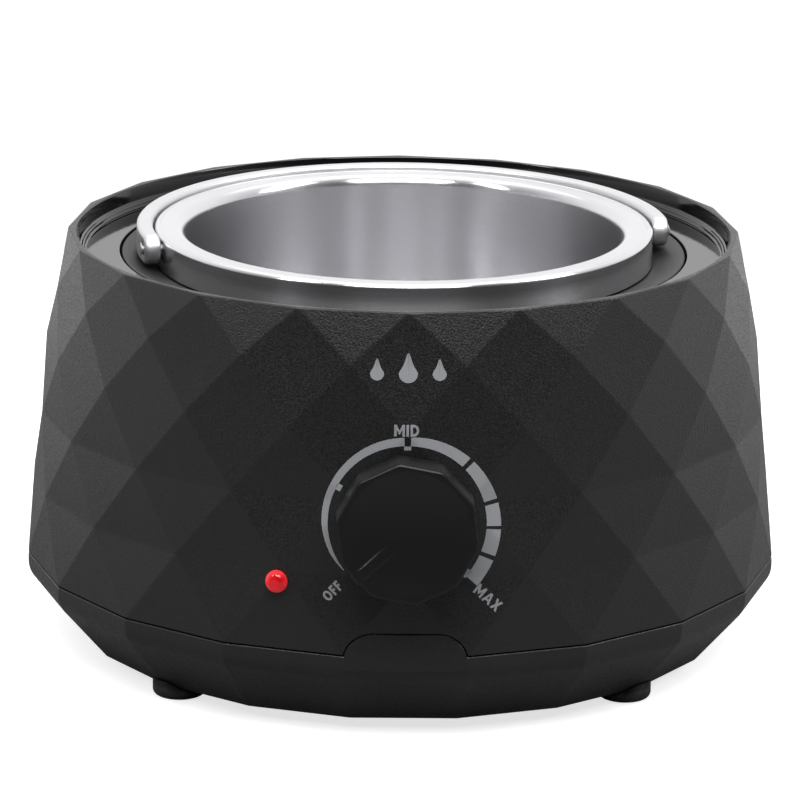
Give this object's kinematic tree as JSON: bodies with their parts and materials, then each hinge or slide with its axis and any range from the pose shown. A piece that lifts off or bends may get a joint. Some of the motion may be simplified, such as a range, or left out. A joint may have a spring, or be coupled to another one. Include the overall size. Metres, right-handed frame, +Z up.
{
  "type": "wax warmer pot",
  "caption": "Faceted black wax warmer with a dial, a lamp and a lift-out metal pot that has a swinging bail.",
  "frame": {"origin": "middle of the footprint of the whole object, on the surface that it stands on", "axes": "+Z up; the knob faces -Y; +X is at the right hand of a person who faces the knob"},
  "size_m": [0.1926, 0.2046, 0.1091],
  "materials": {
    "housing_black": "moulded ABS with a fine grain, satin black",
    "seat_ring_dark": "moulded heat-resistant plastic, dull dark grey",
    "knob_black": "moulded ABS, fine matt black",
    "foot_rubber": "moulded rubber, matt black",
    "pot_metal": "spun, satin, with a bright rolled lip",
    "bail_metal": "tumbled strip, bright satin",
    "rivet_metal": "bright domed head",
    "well_metal": "spun, dull",
    "heater_steel": "plain sheet",
    "screw_steel": "zinc plated",
    "thermostat_phenolic": "moulded phenolic, brown",
    "bush_brass": "turned",
    "lens_red": "polished clear red acrylic",
    "neon_glass": "clear",
    "inlet_black": "moulded nylon, black",
    "pin_metal": "nickel plated",
    "lead_brown": "silicone sleeve, brown",
    "lead_blue": "silicone sleeve, blue",
    "fuse_ceramic": "fired ceramic, off-white"
  },
  "bodies": {
    "housing": {"upper_shell": "housing_black", "base_shell": "housing_black", "seat_ring": "seat_ring_dark", "heater_well": "well_metal", "heater_band": "heater_steel", "band_clamp_screw": "screw_steel", "band_clamp_nut": "screw_steel", "seat_ring_screw_1": "screw_steel", "seat_ring_screw_2": "screw_steel", "seat_ring_screw_3": "screw_steel", "thermal_fuse": "fuse_ceramic", "fuse_clip": "heater_steel", "thermostat_body": "thermostat_phenolic", "thermostat_bush": "bush_brass", "thermostat_nut": "screw_steel", "lamp_lens": "lens_red", "lamp_retainer": "heater_steel", "neon_bulb": "neon_glass", "inlet_socket": "inlet_black", "inlet_pin_left": "pin_metal", "inlet_pin_right": "pin_metal", "lead_inlet_thermostat": "lead_brown", "lead_thermostat_heater": "lead_brown", "lead_inlet_fuse": "lead_blue", "lead_fuse_heater": "lead_blue", "foot_front_right": "foot_rubber", "foot_screw_front_right": "screw_steel", "foot_back_right": "foot_rubber", "foot_screw_back_right": "screw_steel", "foot_back_left": "foot_rubber", "foot_screw_back_left": "screw_steel", "foot_front_left": "foot_rubber", "foot_screw_front_left": "screw_steel"},
    "pot": {"pot": "pot_metal", "rivet_left": "rivet_metal", "rivet_right": "rivet_metal"},
    "bail": {"bail": "bail_metal"},
    "knob": {"knob": "knob_black", "thermostat_shaft": "pin_metal"}
  },
  "joints": [
    {"name": "pot_lift", "type": "slide", "parent": "housing", "child": "pot", "axis": [0, 0, 1], "range_m": [0, 0.075]},
    {"name": "bail_swing", "type": "hinge", "parent": "pot", "child": "bail", "pos_m": [0.0009, 0.00111, 0.1052], "axis": [0.9836, 0.1805, 0], "range_deg": [0, 178]},
    {"name": "knob_turn", "type": "hinge", "parent": "housing", "child": "knob", "pos_m": [0, -0.08737, 0.0565], "axis": [0, 0.9951, -0.0993], "range_deg": [0, 264]}
  ]
}
